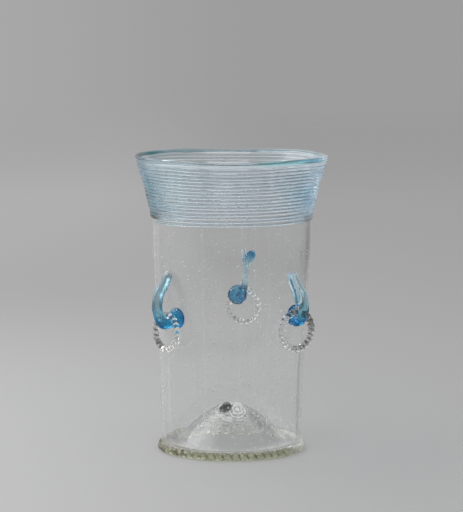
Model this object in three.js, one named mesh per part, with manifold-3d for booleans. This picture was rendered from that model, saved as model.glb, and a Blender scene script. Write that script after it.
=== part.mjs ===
import * as THREE from "three";
import { mergeVertices } from "three/addons/utils/BufferGeometryUtils.js";
import Module from "manifold-3d";

// A looped beaker of blown glass. A tapering cylinder with a flared collar is pushed up into a
// cone under its floor, wound with a pale blue thread round the collar and edged with a blue lip
// trail. A notched trail round the heel is its foot. Three blue loops are drawn on the wall, each
// from a pressed pad up to a nipped end, and a loose ribbed ring of clear glass hangs in each.
// Lengths are millimetres and angles degrees. Z is up and the origin is on the table, on the
// beaker's axis. Azimuths run from the front, which is -Y, towards +X.

const wasm = await Module();
wasm.setup();

// The blown body
const beakerHeight = 160;
const rimRadius = 50.8;
const shoulderRadius = 43;
const heelRadius = 38.2;
const collarHeight = 34;
const wallThickness = 1.6;
const lipThickness = 1.2;
const floorHeight = 3.9;
const floorCornerRadius = 1.8;
const heelCornerRadius = 2.4;
const kickTopHeight = 24.6;
const kickThickness = 2.1;

// The trails wound round the body
const lipTrailRadius = 0.95;
const lipTrailOverhang = 0.75;
const threadRadius = 0.62;
const threadTurns = 16;
const threadPitch = 1.9;
const threadDrop = 1.3;
const footTrailRadius = 2.05;
const footOverhang = 2.1;
const footNotchDepth = 0.5;
const footNotchPitch = 5.0;

// The wad that the pontil rod left under the kick
const wadRadius = 7.2;
const wadThickness = 2.9;
const wadCraterDepth = 1.7;

// Glass that is fused on the real beaker keeps this gap here, and so does a ring on its loop
const seatGap = 0.3;

// Each loop: where its pad, the bottom of its hook and its nipped top lie on the wall, how far
// the ring in the hook stands off the wall, and the sections of the trail at hook, belly and top
const loops = {
  left: {
    padAzimuth: -45,
    hookAzimuth: -47.5,
    topAzimuth: -52.5,
    padHeight: 75.2,
    hookHeight: 72.5,
    topHeight: 100.5,
    ringReach: 5.5,
    bellyLead: 0.5,
    hookRadius: 2.8,
    bellyHalfWidth: 2.8,
    bellyHalfThickness: 2.6,
    topHalfWidth: 1.8,
    topHalfThickness: 1.4,
    padRadius: 5.7,
    padThickness: 2.3,
    ringDiameter: 22,
    ringRibRadius: 1.8,
    ringAzimuth: -50,
    arms: [],
  },
  right: {
    padAzimuth: 53,
    hookAzimuth: 49.4,
    topAzimuth: 51.8,
    padHeight: 76.2,
    hookHeight: 73.8,
    topHeight: 99.8,
    ringReach: 4.2,
    bellyLead: 0.2,
    hookRadius: 2.7,
    bellyHalfWidth: 3.7,
    bellyHalfThickness: 2.5,
    topHalfWidth: 2.8,
    topHalfThickness: 1.3,
    padRadius: 5.6,
    padThickness: 1.7,
    ringDiameter: 23.8,
    ringRibRadius: 1.95,
    ringAzimuth: 37,
    arms: [{ fromShare: 0.95, toShare: 0.2, asideFrom: -2, asideTo: -3.2, radiusFrom: 1.3, radiusTo: 2 }],
  },
  back: {
    padAzimuth: 175.4,
    hookAzimuth: 171.4,
    topAzimuth: 168.5,
    padHeight: 77.8,
    hookHeight: 76,
    topHeight: 99.8,
    ringReach: 4.4,
    bellyLead: 0.2,
    hookRadius: 2.3,
    bellyHalfWidth: 1.9,
    bellyHalfThickness: 2,
    topHalfWidth: 1.5,
    topHalfThickness: 1.3,
    padRadius: 5.6,
    padThickness: 2.1,
    ringDiameter: 21.8,
    ringRibRadius: 1.75,
    ringAzimuth: 168,
    arms: [
      { fromShare: 0.9, toShare: 1.18, asideFrom: 0, asideTo: 2.8, radiusFrom: 1.2, radiusTo: 0.9 },
      { fromShare: 0.9, toShare: 1.12, asideFrom: 0, asideTo: -4.6, radiusFrom: 1.3, radiusTo: 1.9 },
    ],
  },
};
const ringRibPitch = 2.9;
const ringRibDepth = 0.45;

// Outlines as shares: how the wall swells from heel to shoulder, how the collar flares from
// shoulder to rim, how the kick falls from its top to the floor, and the wad from edge to crater
const wallSwellShares = [[0, 0], [0.3, 0.2], [0.58, 0.6], [0.81, 0.92], [1, 1]];
const collarFlareShares = [[0, 0], [0.1, 0.02], [0.32, 0.25], [0.6, 0.52], [0.82, 0.84], [1, 1]];
const kickFallShares = [
  [0, 1], [0.12, 0.98], [0.27, 0.85], [0.47, 0.6], [0.7, 0.34], [0.9, 0.11], [1, 0],
];
const wadUnderShares = [[1, 0.35], [0.92, 0.85], [0.74, 1], [0.5, 0.9]];
const wadCraterShares = [[0.34, 0.5], [0.16, 0.95]];

// The loop's trail above its hook: height from the hook to the top, and reach from the belly in
const trailRiseShares = [[0.2, 1], [0.45, 0.83], [0.61, 0.55], [0.78, 0.27], [1, 0]];
const trailHeelShare = 0.05;
const armEndShares = [[0, 1], [0.7, 1], [0.85, 0.86], [0.95, 0.6], [1, 0.3]];
const padDomeShares = [[1, 0], [0.97, 0.45], [0.82, 0.8], [0.5, 0.97]];
const padRootShare = 0.9;

// How finely round things are faceted
const wallSegments = 48;
const wallLevels = 4;
const collarLevels = 5;
const cornerSteps = 3;
const threadSteps = 24;
const threadSides = 6;
const lipSides = 6;
const footSides = 8;
const trailSides = 8;
const trailSteps = 24;
const armSteps = 7;
const padSegments = 14;
const ringSides = 6;
const wadSegments = 18;

const heelHeight = floorHeight - kickThickness;
const heelTop = heelHeight + heelCornerRadius;
const wallTop = beakerHeight - 2 * lipTrailRadius - seatGap;
const collarStart = beakerHeight - collarHeight;
const floorRadius = heelRadius - wallThickness - floorCornerRadius;

// A smooth line through a table of shares, by cubic pieces with the slopes of the neighbours
function smoothThrough(shares, at) {
  const last = shares.length - 1;
  const slope = (i) => {
    const [a, b] = [shares[Math.max(i - 1, 0)], shares[Math.min(i + 1, last)]];
    return (b[1] - a[1]) / (b[0] - a[0]);
  };
  const held = THREE.MathUtils.clamp(at, shares[0][0], shares[last][0]);
  const i = Math.min(shares.findLastIndex((s) => s[0] <= held), last - 1);
  const [[x0, y0], [x1, y1]] = [shares[i], shares[i + 1]];
  const [span, t] = [x1 - x0, (held - x0) / (x1 - x0)];
  const [t2, t3] = [t * t, t * t * t];
  return (
    y0 * (2 * t3 - 3 * t2 + 1) + slope(i) * span * (t3 - 2 * t2 + t) +
    y1 * (3 * t2 - 2 * t3) + slope(i + 1) * span * (t3 - t2)
  );
}

// The outside radius of the wall, and its thickness, at a height
function wallRadius(height) {
  if (height > collarStart) {
    const share = (height - collarStart) / (wallTop - collarStart);
    return THREE.MathUtils.lerp(shoulderRadius, rimRadius, smoothThrough(collarFlareShares, share));
  }
  const share = (height - heelTop) / (collarStart - heelTop);
  return THREE.MathUtils.lerp(heelRadius, shoulderRadius, smoothThrough(wallSwellShares, share));
}

function wallThicknessAt(height) {
  const share = THREE.MathUtils.clamp((height - collarStart) / (wallTop - collarStart), 0, 1);
  return THREE.MathUtils.lerp(wallThickness, lipThickness, share);
}

// A point that stands off the wall by reach, at an azimuth and a height
function offWall(azimuth, reach, height) {
  const radius = wallRadius(height) + reach;
  const angle = THREE.MathUtils.degToRad(azimuth);
  return new THREE.Vector3(radius * Math.sin(angle), -radius * Math.cos(angle), height);
}

// Evenly spaced numbers from a to b, both included
function spread(a, b, steps) {
  return Array.from({ length: steps + 1 }, (_, i) => THREE.MathUtils.lerp(a, b, i / steps));
}

// Points on an arc of an outline, from one angle to another
function arc(centreRadius, centreHeight, radius, from, to) {
  return spread(from, to, cornerSteps).map((degrees) => {
    const angle = THREE.MathUtils.degToRad(degrees);
    const across = centreRadius + radius * Math.cos(angle);
    return new THREE.Vector2(across, centreHeight + radius * Math.sin(angle));
  });
}

// An outline of radius and height, turned about the Z axis
function turned(outline, segments) {
  return new THREE.LatheGeometry(outline, segments).rotateX(Math.PI / 2);
}

// A skin over rings of points that have as many points each: closed on itself, or capped
function skin(rings, closed) {
  const sides = rings[0].length;
  const positions = rings.flat().flatMap((p) => [p.x, p.y, p.z]);
  const faces = [];
  const spans = closed ? rings.length : rings.length - 1;
  for (let i = 0; i < spans; i++) {
    const next = (i + 1) % rings.length;
    for (let k = 0; k < sides; k++) {
      const beside = (k + 1) % sides;
      const [a, b] = [i * sides + k, i * sides + beside];
      const [c, d] = [next * sides + beside, next * sides + k];
      faces.push(a, b, c, a, c, d);
    }
  }
  if (!closed) {
    const end = (rings.length - 1) * sides;
    for (let k = 1; k < sides - 1; k++) {
      faces.push(0, k + 1, k, end, end + k, end + k + 1);
    }
  }
  const geometry = new THREE.BufferGeometry();
  geometry.setAttribute("position", new THREE.Float32BufferAttribute(positions, 3));
  geometry.setIndex(faces);
  return geometry;
}

// An oval of points round a centre, in the plane of two directions
function oval(centre, across, along, halfWidth, halfThickness, sides) {
  return Array.from({ length: sides }, (_, k) => {
    const angle = (2 * Math.PI * (k + 0.5)) / sides;
    const point = centre.clone().addScaledVector(across, halfWidth * Math.cos(angle));
    return point.addScaledVector(along, halfThickness * Math.sin(angle));
  });
}

// Geometry to solid and back
function solidOf(geometry) {
  const bare = geometry.clone();
  bare.deleteAttribute("normal");
  bare.deleteAttribute("uv");
  const merged = mergeVertices(bare);
  const vertProperties = merged.attributes.position.array;
  const triVerts = new Uint32Array(merged.index.array);
  return new wasm.Manifold(new wasm.Mesh({ numProp: 3, vertProperties, triVerts }));
}

function geometryOf(solid) {
  const mesh = solid.getMesh();
  const geometry = new THREE.BufferGeometry();
  geometry.setAttribute("position", new THREE.BufferAttribute(mesh.vertProperties, 3));
  geometry.setIndex(new THREE.BufferAttribute(mesh.triVerts, 1));
  return geometry.toNonIndexed();
}

// The outside of the wall from the heel up, as an outline, grown outwards by a margin
function wallOutline(margin) {
  const cornerCentre = heelRadius - heelCornerRadius;
  const heel = arc(cornerCentre, heelTop, heelCornerRadius + margin, -90, 0);
  const levels = spread(heelTop, collarStart, wallLevels).slice(1);
  levels.push(...spread(collarStart, wallTop - lipThickness / 2, collarLevels).slice(1));
  return [...heel, ...levels.map((height) => new THREE.Vector2(wallRadius(height) + margin, height))];
}

// The kick's line from the middle out to the floor, lowered by a depth
function kickOutline(depth) {
  return kickFallShares.map(([across, rise]) => {
    const height = THREE.MathUtils.lerp(floorHeight, kickTopHeight, rise);
    return new THREE.Vector2(across * floorRadius, height - depth);
  });
}

// One gather, blown, opened at the collar and pushed up under the floor
function blownBody() {
  const lipHeight = wallTop - lipThickness / 2;
  const lip = arc(wallRadius(lipHeight) - lipThickness / 2, lipHeight, lipThickness / 2, 0, 180);
  const corner = arc(floorRadius, floorHeight + floorCornerRadius, floorCornerRadius, -90, 0);
  const insideLevels = spread(corner.at(-1).y, collarStart, wallLevels).slice(1);
  insideLevels.push(...spread(collarStart, lipHeight, collarLevels).slice(1, -1));
  const inside = insideLevels.map(
    (height) => new THREE.Vector2(wallRadius(height) - wallThicknessAt(height), height),
  );
  const outside = wallOutline(0).slice(0, -1);
  const above = [...kickOutline(0), ...corner.slice(1), ...inside].reverse();
  const outline = [...kickOutline(kickThickness), ...outside, ...lip, ...above];
  return turned(outline, wallSegments);
}

// The wall with all that it holds, as one core that trails are cut back from
function wallCore() {
  const side = wallOutline(seatGap);
  const bottom = new THREE.Vector2(0, side[0].y);
  const top = new THREE.Vector2(0, side.at(-1).y);
  return solidOf(turned([bottom, ...side, top], wallSegments));
}

// The blue edge, laid on the cut lip
function lipTrail() {
  const centreRadius = wallRadius(wallTop) - lipThickness / 2 + lipTrailOverhang;
  const up = new THREE.Vector3(0, 0, 1);
  const rings = Array.from({ length: wallSegments }, (_, i) => {
    const angle = (2 * Math.PI * i) / wallSegments;
    const out = new THREE.Vector3(Math.sin(angle), Math.cos(angle), 0);
    const centre = out.clone().multiplyScalar(centreRadius).setZ(beakerHeight - lipTrailRadius);
    return oval(centre, out, up, lipTrailRadius, lipTrailRadius, lipSides);
  });
  return skin(rings, true);
}

// The thread's centre line: a spiral that climbs the collar at a steady pitch along the slant
function threadLine() {
  const steps = threadTurns * threadSteps;
  const chord = Math.cos(Math.PI / threadSteps);
  const line = [];
  let height = collarStart + threadDrop;
  for (let i = 0; i <= steps; i++) {
    const rise = wallRadius(height + threadPitch) - wallRadius(height);
    const lean = Math.atan2(rise, threadPitch);
    const reach = (seatGap + threadRadius) / Math.cos(lean);
    const radius = (wallRadius(height) + reach) / chord;
    const angle = (2 * Math.PI * i) / threadSteps;
    line.push(new THREE.Vector3(radius * Math.sin(angle), -radius * Math.cos(angle), height));
    height += (threadPitch * Math.cos(lean)) / threadSteps;
  }
  return line;
}

// The thread itself, one unbroken tube whose ends run straight for one diameter
function rimThread() {
  const line = threadLine();
  const runOut = (end, before) => {
    const along = end.clone().sub(before).normalize();
    return end.clone().addScaledVector(along, 2 * threadRadius);
  };
  const whole = [runOut(line[0], line[1]), ...line, runOut(line.at(-1), line.at(-2))];
  const rings = whole.map((centre, i) => {
    const along = whole[Math.min(i + 1, whole.length - 1)].clone().sub(whole[Math.max(i - 1, 0)]);
    const out = new THREE.Vector3(centre.x, centre.y, 0).normalize();
    const up = along.normalize().clone().cross(out).normalize().negate();
    return oval(centre, up, out, threadRadius, threadRadius, threadSides);
  });
  const points = line.flatMap((p, i) => (i >= threadSteps ? [p.distanceTo(line[i - threadSteps])] : []));
  const gap = Math.min(...points) - 2 * threadRadius;
  console.log(`rim thread: ${threadTurns} turns, least gap to itself ${gap.toFixed(2)} mm`);
  return skin(rings, false);
}

// The foot: a trail pressed into notches all the way round, flat where it meets the table
function footTrail(core) {
  const centreRadius = heelRadius + footOverhang - footTrailRadius;
  const notches = Math.round((2 * Math.PI * centreRadius) / footNotchPitch);
  const base = Math.PI / footSides;
  const centreHeight = footTrailRadius * Math.cos(base);
  const rings = Array.from({ length: 2 * notches }, (_, i) => {
    const angle = (Math.PI * i) / notches;
    const notch = i % 2 ? footNotchDepth : 0;
    return Array.from({ length: footSides }, (_, k) => {
      const turn = -base - (2 * Math.PI * k) / footSides - Math.PI / 2;
      const onTable = k === 0 || k === footSides - 1;
      const out = centreRadius + (footTrailRadius - notch) * Math.cos(turn);
      const lift = onTable ? -centreHeight : (footTrailRadius - notch / 2) * Math.sin(turn);
      return new THREE.Vector3(out * Math.cos(angle), out * Math.sin(angle), centreHeight + lift);
    });
  });
  return geometryOf(solidOf(skin(rings, true)).subtract(core));
}

// The pontil wad, seated under the kick, broken away to a crater in its middle
function pontilWad() {
  const seat = (radius) => {
    const rise = smoothThrough(kickFallShares, radius / floorRadius);
    return THREE.MathUtils.lerp(floorHeight, kickTopHeight, rise) - kickThickness - seatGap;
  };
  const edge = seat(wadRadius);
  const lowest = edge - wadThickness;
  const middle = lowest + wadCraterDepth;
  const top = spread(0, wadRadius, 2 * cornerSteps).map((r) => new THREE.Vector2(r, seat(r)));
  const under = wadUnderShares.map(
    ([across, fall]) => new THREE.Vector2(across * wadRadius, edge - fall * wadThickness),
  );
  const crater = wadCraterShares.map(
    ([across, depth]) => new THREE.Vector2(across * wadRadius, THREE.MathUtils.lerp(lowest, middle, depth)),
  );
  const outline = [new THREE.Vector2(0, middle), ...crater.reverse(), ...under.reverse(), ...top.reverse()];
  return turned(outline, wadSegments);
}

// Where a ring hangs: the middle of its glass at the top, resting in the loop's hook
function hangPoint(loop) {
  const turnRadius = loop.hookRadius + seatGap + loop.ringRibRadius;
  const height = loop.hookHeight + turnRadius;
  return { turnRadius, height, point: offWall(loop.hookAzimuth, loop.ringReach, height) };
}

// A point beside the rising part of a loop's trail: share 0 is level with the ring, 1 is the top
function riseAt(loop, share, aside) {
  const { turnRadius, height } = hangPoint(loop);
  const belly = loop.ringReach + turnRadius + loop.bellyLead;
  const level = THREE.MathUtils.lerp(height, loop.topHeight, share);
  const reach = belly * Math.max(smoothThrough(trailRiseShares, share), 0);
  const turn = THREE.MathUtils.radToDeg(aside / wallRadius(level));
  const azimuth = THREE.MathUtils.lerp(loop.hookAzimuth, loop.topAzimuth, Math.min(share, 1));
  return offWall(azimuth + turn, reach, level);
}

// A loop's centre line, from its pad round the hook and up the belly to its nipped top
function loopLine(loop) {
  const { turnRadius, height } = hangPoint(loop);
  const hook = [-45, 0, 45, 90].map((degrees) => {
    const angle = THREE.MathUtils.degToRad(degrees);
    const reach = loop.ringReach + turnRadius * Math.sin(angle);
    const drop = height - turnRadius * Math.cos(angle);
    const beside = degrees < 0 ? (loop.padAzimuth + loop.hookAzimuth) / 2 : loop.hookAzimuth;
    return offWall(beside, reach, drop);
  });
  const rise = trailRiseShares.map(([share]) => riseAt(loop, share, 0));
  const root = offWall(loop.padAzimuth, -trailHeelShare * turnRadius, loop.padHeight);
  const line = new THREE.CatmullRomCurve3([root, ...hook, ...rise], false, "centripetal");
  const last = line.points.length - 1;
  return { line, hookEnd: hook.length / last, bellyAt: (hook.length + 2) / last };
}

// A tube of ovals about a line, each upright oval across the line and level with the wall
function drawnTube(line, steps, sizesAt) {
  const rings = spread(0, 1, steps).map((t) => {
    const centre = line.getPoint(t);
    const tangent = line.getTangent(t);
    const out = new THREE.Vector3(centre.x, centre.y, 0).normalize();
    const across = out.clone().cross(new THREE.Vector3(0, 0, 1));
    across.addScaledVector(tangent, -across.dot(tangent)).normalize();
    const along = tangent.clone().cross(across).normalize();
    const [halfWidth, halfThickness] = sizesAt(t);
    return oval(centre, across, along, halfWidth, halfThickness, trailSides);
  });
  return solidOf(skin(rings, false));
}

// The pressed pad of a loop, with its back sunk past the wall that it is pressed on
function loopPad(loop) {
  const dome = padDomeShares.map(
    ([across, rise]) => new THREE.Vector2(across * loop.padRadius, rise * loop.padThickness),
  );
  const root = -padRootShare * loop.padThickness;
  const outline = [
    new THREE.Vector2(0, root), new THREE.Vector2(loop.padRadius, root),
    ...dome, new THREE.Vector2(0, loop.padThickness),
  ];
  const seat = offWall(loop.padAzimuth, 0, loop.padHeight);
  const pad = new THREE.LatheGeometry(outline, padSegments).rotateX(Math.PI);
  return solidOf(pad.rotateZ(THREE.MathUtils.degToRad(loop.padAzimuth)).translate(...seat));
}

// One loop: the pad, the trail drawn from it, thick below and flat on top, and its spare ends
function glassLoop(loop, core) {
  const { line, hookEnd, bellyAt } = loopLine(loop);
  const trail = drawnTube(line, trailSteps, (t) => {
    const belly = THREE.MathUtils.smoothstep(t, hookEnd, bellyAt);
    const top = THREE.MathUtils.smoothstep(t, bellyAt, 1);
    const width = THREE.MathUtils.lerp(loop.hookRadius, loop.bellyHalfWidth, belly);
    const thickness = THREE.MathUtils.lerp(loop.hookRadius, loop.bellyHalfThickness, belly);
    return [
      THREE.MathUtils.lerp(width, loop.topHalfWidth, top),
      THREE.MathUtils.lerp(thickness, loop.topHalfThickness, top),
    ];
  });
  let solid = trail.add(loopPad(loop));
  for (const arm of loop.arms) {
    const places = spread(0, 1, armSteps).map((t) => {
      const share = THREE.MathUtils.lerp(arm.fromShare, arm.toShare, t);
      return riseAt(loop, share, THREE.MathUtils.lerp(arm.asideFrom, arm.asideTo, t));
    });
    const tube = drawnTube(new THREE.CatmullRomCurve3(places), armSteps, (t) => {
      const radius = THREE.MathUtils.lerp(arm.radiusFrom, arm.radiusTo, t);
      return [radius, radius].map((size) => size * smoothThrough(armEndShares, t));
    });
    solid = solid.add(tube);
  }
  return geometryOf(solid.subtract(core));
}

// A ribbed ring, hanging from the origin in the XZ plane
function ribbedRing(loop) {
  const radius = loop.ringDiameter / 2 - loop.ringRibRadius;
  const ribs = Math.round((2 * Math.PI * radius) / ringRibPitch);
  const rings = Array.from({ length: 2 * ribs }, (_, i) => {
    const angle = (Math.PI * i) / ribs;
    const out = new THREE.Vector3(Math.sin(angle), 0, Math.cos(angle));
    const centre = out.clone().multiplyScalar(radius);
    centre.z -= radius;
    const glass = loop.ringRibRadius - (i % 2 ? ringRibDepth : 0);
    return oval(centre, new THREE.Vector3(0, 1, 0), out, glass, glass, ringSides);
  });
  return skin(rings, true);
}

// Named meshes in one group
const beaker = new THREE.Group();
beaker.name = "looped_beaker";

function glass(colour, opacity) {
  return new THREE.MeshStandardMaterial({
    color: new THREE.Color(...colour), roughness: 0.05, metalness: 0, transparent: true, opacity,
  });
}

function addPiece(name, geometry, material) {
  const mesh = new THREE.Mesh(geometry, material);
  mesh.name = name;
  beaker.add(mesh);
  return mesh;
}

const core = wallCore();
addPiece("blown_body", blownBody(), glass([0.86, 0.88, 0.88], 0.25));
addPiece("lip_trail", lipTrail(), glass([0.18, 0.42, 0.52], 0.75));
addPiece("rim_thread", rimThread(), glass([0.48, 0.7, 0.8], 0.65));
addPiece("foot_trail", footTrail(core), glass([0.6, 0.64, 0.5], 0.7));
addPiece("pontil_wad", pontilWad(), glass([0.75, 0.78, 0.76], 0.5));
for (const [side, loop] of Object.entries(loops)) {
  addPiece(`${side}_loop`, glassLoop(loop, core), glass([0.06, 0.36, 0.62], 0.8));
  const ring = addPiece(`${side}_ring`, ribbedRing(loop), glass([0.82, 0.82, 0.8], 0.45));
  ring.position.copy(hangPoint(loop).point);
  ring.rotation.z = THREE.MathUtils.degToRad(loop.ringAzimuth);
}

export default beaker;
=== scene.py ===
import math
import random

import bmesh
import bpy
from mathutils import Matrix, Vector, noise


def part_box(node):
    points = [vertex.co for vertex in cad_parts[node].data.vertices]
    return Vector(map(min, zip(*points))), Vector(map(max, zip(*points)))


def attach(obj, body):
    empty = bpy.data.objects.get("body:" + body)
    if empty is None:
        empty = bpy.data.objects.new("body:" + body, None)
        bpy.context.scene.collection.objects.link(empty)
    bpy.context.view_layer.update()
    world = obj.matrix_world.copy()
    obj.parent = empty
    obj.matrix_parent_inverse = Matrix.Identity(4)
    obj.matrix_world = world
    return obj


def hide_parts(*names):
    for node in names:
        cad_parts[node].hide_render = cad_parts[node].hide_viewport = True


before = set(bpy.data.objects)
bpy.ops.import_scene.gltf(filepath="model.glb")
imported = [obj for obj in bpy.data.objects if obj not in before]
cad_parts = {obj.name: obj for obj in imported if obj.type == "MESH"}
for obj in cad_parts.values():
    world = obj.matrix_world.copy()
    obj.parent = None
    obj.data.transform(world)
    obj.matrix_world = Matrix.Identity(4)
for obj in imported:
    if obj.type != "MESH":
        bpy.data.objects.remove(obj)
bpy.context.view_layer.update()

# The camera
# It looks slightly down on the beaker from the front, far enough off that the wall stays
# upright. Light is followed through as many walls of clear glass as it meets.
camera_distance = 1.1235
camera_height = 0.2459
camera_pitch = 7.161
camera_lens = 146.9
most_bounces = 32
most_glossy_bounces = 24

camera_data = bpy.data.cameras.new("camera")
camera_data.lens = camera_lens
camera = bpy.data.objects.new("camera", camera_data)
camera.location = (0, -camera_distance, camera_height)
camera.rotation_euler = (math.radians(90 - camera_pitch), 0, 0)
bpy.context.scene.collection.objects.link(camera)
bpy.context.scene.camera = camera
bpy.context.scene.view_settings.view_transform = "Standard"

light_paths = bpy.context.scene.cycles
light_paths.max_bounces = most_bounces
light_paths.glossy_bounces = most_glossy_bounces
light_paths.transmission_bounces = most_bounces
light_paths.transparent_max_bounces = most_bounces


# The studio
# A wide matt grey table, brighter on the left, that fades into a grey backdrop. One soft box
# stands at the left and one hangs over the camera. The right and the camera's side stay dark.
class Wire:
    """One output in a node tree, so that shader maths reads as Python."""

    def __init__(self, tree, socket=None):
        self.tree = tree
        self.socket = socket

    def node(self, kind, inputs=(), output=0, **settings):
        """A new shader node with these settings, fed with these values or outputs."""
        made = self.tree.nodes.new("ShaderNode" + kind)
        for name, value in settings.items():
            if name == "stops":
                ramp = made.color_ramp
                while len(ramp.elements) < len(value):
                    ramp.elements.new(0.5)
                for element, (place, colour) in zip(ramp.elements, value):
                    element.position = place
                    element.color = (*colour, 1)
            else:
                setattr(made, name, value)
        for name, value in dict(inputs).items():
            if isinstance(value, Wire):
                self.tree.links.new(value.socket, made.inputs[name])
            else:
                made.inputs[name].default_value = value
        return Wire(self.tree, made.outputs[output] if made.outputs else None)

    def maths(self, operation, *terms):
        """A Math node on this number and these terms."""
        return self.node("Math", enumerate((self, *terms)), operation=operation)

    def vector(self, operation, *terms, output="Vector"):
        """A Vector Math node on this vector and these terms."""
        return self.node("VectorMath", enumerate((self, *terms)), output, operation=operation)

    def __add__(self, other):
        return self.maths("ADD", other)

    def __sub__(self, other):
        return self.maths("SUBTRACT", other)

    def __rsub__(self, other):
        return self.node("Math", {0: other, 1: self}, operation="SUBTRACT")

    def __mul__(self, other):
        return self.maths("MULTIPLY", other)

    __radd__ = __add__
    __rmul__ = __mul__

    def above(self, low, high):
        """0 up to low and 1 from high on, with a smooth step between them."""
        inputs = {"Value": self, "From Min": low, "From Max": high}
        return self.node("MapRange", inputs, interpolation_type="SMOOTHSTEP")

    def below(self, low, high):
        """1 up to low and 0 from high on, with a smooth step between them."""
        return 1 - self.above(low, high)

    def blend(self, first, second):
        """Of two colours, the first where this is 0 and the second where it is 1."""
        first, second = [(*c, 1) if isinstance(c, tuple) else c for c in (first, second)]
        return self.node("Mix", {0: self, 6: first, 7: second}, output=2, data_type="RGBA")

    def ramp(self, *stops):
        """The colour at this place on a ramp of places and colours."""
        return self.node("ValToRGB", {"Fac": self}, stops=stops)

    def axes(self, unit=1.0):
        """The three coordinates of this place, counted in a unit."""
        split = [self.node("SeparateXYZ", {0: self}, output=k) for k in range(3)]
        return [coordinate * (1 / unit) for coordinate in split]

    def cloud(self, scale, detail=2):
        """Smooth noise at this place."""
        return self.node("TexNoise", {"Vector": self, "Scale": scale, "Detail": detail})

    def scaled(self, scales):
        """This place with each axis scaled."""
        return self.node("Mapping", {"Vector": self, "Scale": scales})


def place(tree):
    """Where a point is on the piece."""
    return Wire(tree).node("TexCoord", output="Object")


def emptied(data):
    """The node tree of a new material or world, with its nodes taken out."""
    data.use_nodes = True
    data.node_tree.nodes.clear()
    return data.node_tree


def grey(level, gain=1.0):
    """The neutral colour of this level on a screen that counts to 255, made brighter by a gain."""
    return (gain * ((level / 255 + 0.055) / 1.055) ** 2.4,) * 3


def add_object(name, data):
    """A new object that shows this mesh, curve or lamp."""
    made = bpy.data.objects.new(name, data)
    bpy.context.scene.collection.objects.link(made)
    return made


def mesh_object(name, bm, material, smooth=True):
    """The object made of this bmesh, with its faces pointing out."""
    bmesh.ops.recalc_face_normals(bm, faces=bm.faces)
    for face in bm.faces:
        face.smooth = smooth
    mesh = bpy.data.meshes.new(name)
    bm.to_mesh(mesh)
    bm.free()
    mesh.materials.append(material)
    return add_object(name, mesh)


table_radius = 4.0
table_fade_from = 1.6
table_drop = 0.0001
table_left = 188
table_left_back = 168
table_right = 174
table_front = 78
table_far_gain = 1.2
# Between these places in metres, one level of the table turns into the next.
left_to_right = (-0.2, 0.1)
left_to_back = (-0.1, 0.7)
front_to_middle = (-0.7, -0.35)
right_to_front = (0.22, 0.55)
near_to_far = (0.45, table_fade_from)

table_paint = bpy.data.materials.new("matt_table")
here = place(emptied(table_paint))
x, y, z = here.axes()
from_axis = here.vector("LENGTH", output="Value")
aside = x.above(*left_to_right)
left_side = y.above(*left_to_back).blend(grey(table_left), grey(table_left_back))
near = aside.blend(left_side, grey(table_right))
near = y.above(*front_to_middle).blend(grey(table_front), near)
near = x.above(*right_to_front).blend(near, grey(table_front))
far = aside.blend(grey(table_left, table_far_gain), grey(table_right, table_far_gain))
paint = from_axis.above(*near_to_far).blend(near, far)
matt = here.node("BsdfDiffuse", {"Color": paint})
nothing = here.node("BsdfTransparent")
fade = from_axis.above(table_fade_from, table_radius)
edge = here.node("MixShader", {0: fade, 1: matt, 2: nothing})
here.node("OutputMaterial", {"Surface": edge})

bm = bmesh.new()
bmesh.ops.create_circle(bm, cap_ends=True, segments=96, radius=table_radius)
table_top = mesh_object("studio_table", bm, table_paint)
table_top.location.z = -table_drop

room_light = 0.62
ceiling_light = 1.05
overhead_light = 0.18
front_light = 0.14
backdrop_left = 168
backdrop_right = 157
side_card_gain = 1.7
dark_side_gain = 0.45
# Each pair is a part of a direction of length 1, between which one part of the room ends.
backdrop_turn = (-0.13, 0.02)
card_edge = (0.28, 0.42)
ceiling_edge = (0.25, 0.5)
overhead_edge = (0.65, 0.85)
dark_side_edge = (0.6, 0.85)
dark_corner_edge = (0.2, 0.55)
dark_corner_top = (0.2, 0.4)
camera_side_edge = (-0.7, -0.2)
camera_side_top = (0.3, 0.8)

world = bpy.data.worlds.new("studio")
bpy.context.scene.world = world
wire = Wire(emptied(world))
towards = wire.node("TexCoord", output="Generated")
right, away, up = towards.axes()
backdrop = right.above(*backdrop_turn).blend(grey(backdrop_left), grey(backdrop_right))
side_card = grey(backdrop_left, side_card_gain)
backdrop = right.maths("ABSOLUTE").above(*card_edge).blend(backdrop, side_card)
ceiling = up.above(*overhead_edge).blend((ceiling_light,) * 3, (overhead_light,) * 3)
room = up.above(*ceiling_edge).blend(backdrop, ceiling)
dark_corner = right.above(*dark_corner_edge) * up.above(*dark_corner_top)
dark_side = right.above(*dark_side_edge).maths("MAXIMUM", dark_corner)
room = dark_side.blend(room, grey(backdrop_right, dark_side_gain))
camera_side = up.above(*camera_side_top).blend((front_light,) * 3, room)
room = away.below(*camera_side_edge).blend(room, camera_side)
kinds = ("Camera", "Glossy", "Transmission")
rays = [wire.node("LightPath", output=f"Is {kind} Ray") for kind in kinds]
seen = rays[0].maths("MAXIMUM", rays[1]).maths("MAXIMUM", rays[2])
light = seen.blend((room_light,) * 3, room)
background = wire.node("Background", {"Color": light, "Strength": 1.0})
wire.node("OutputWorld", {"Surface": background})
lamp_aim = Vector((0, 0, 0.08))


def soft_box(name, location, width, height, brightness):
    """A soft box that shines on the beaker's middle and stays out of the picture."""
    data = bpy.data.lights.new(name, "AREA")
    data.shape = "RECTANGLE"
    data.size = width
    data.size_y = height
    data.energy = brightness * math.pi * width * height
    lamp = add_object(name, data)
    lamp.location = location
    lamp.rotation_euler = (lamp_aim - Vector(location)).to_track_quat("-Z", "Y").to_euler()
    lamp.visible_camera = False


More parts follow.
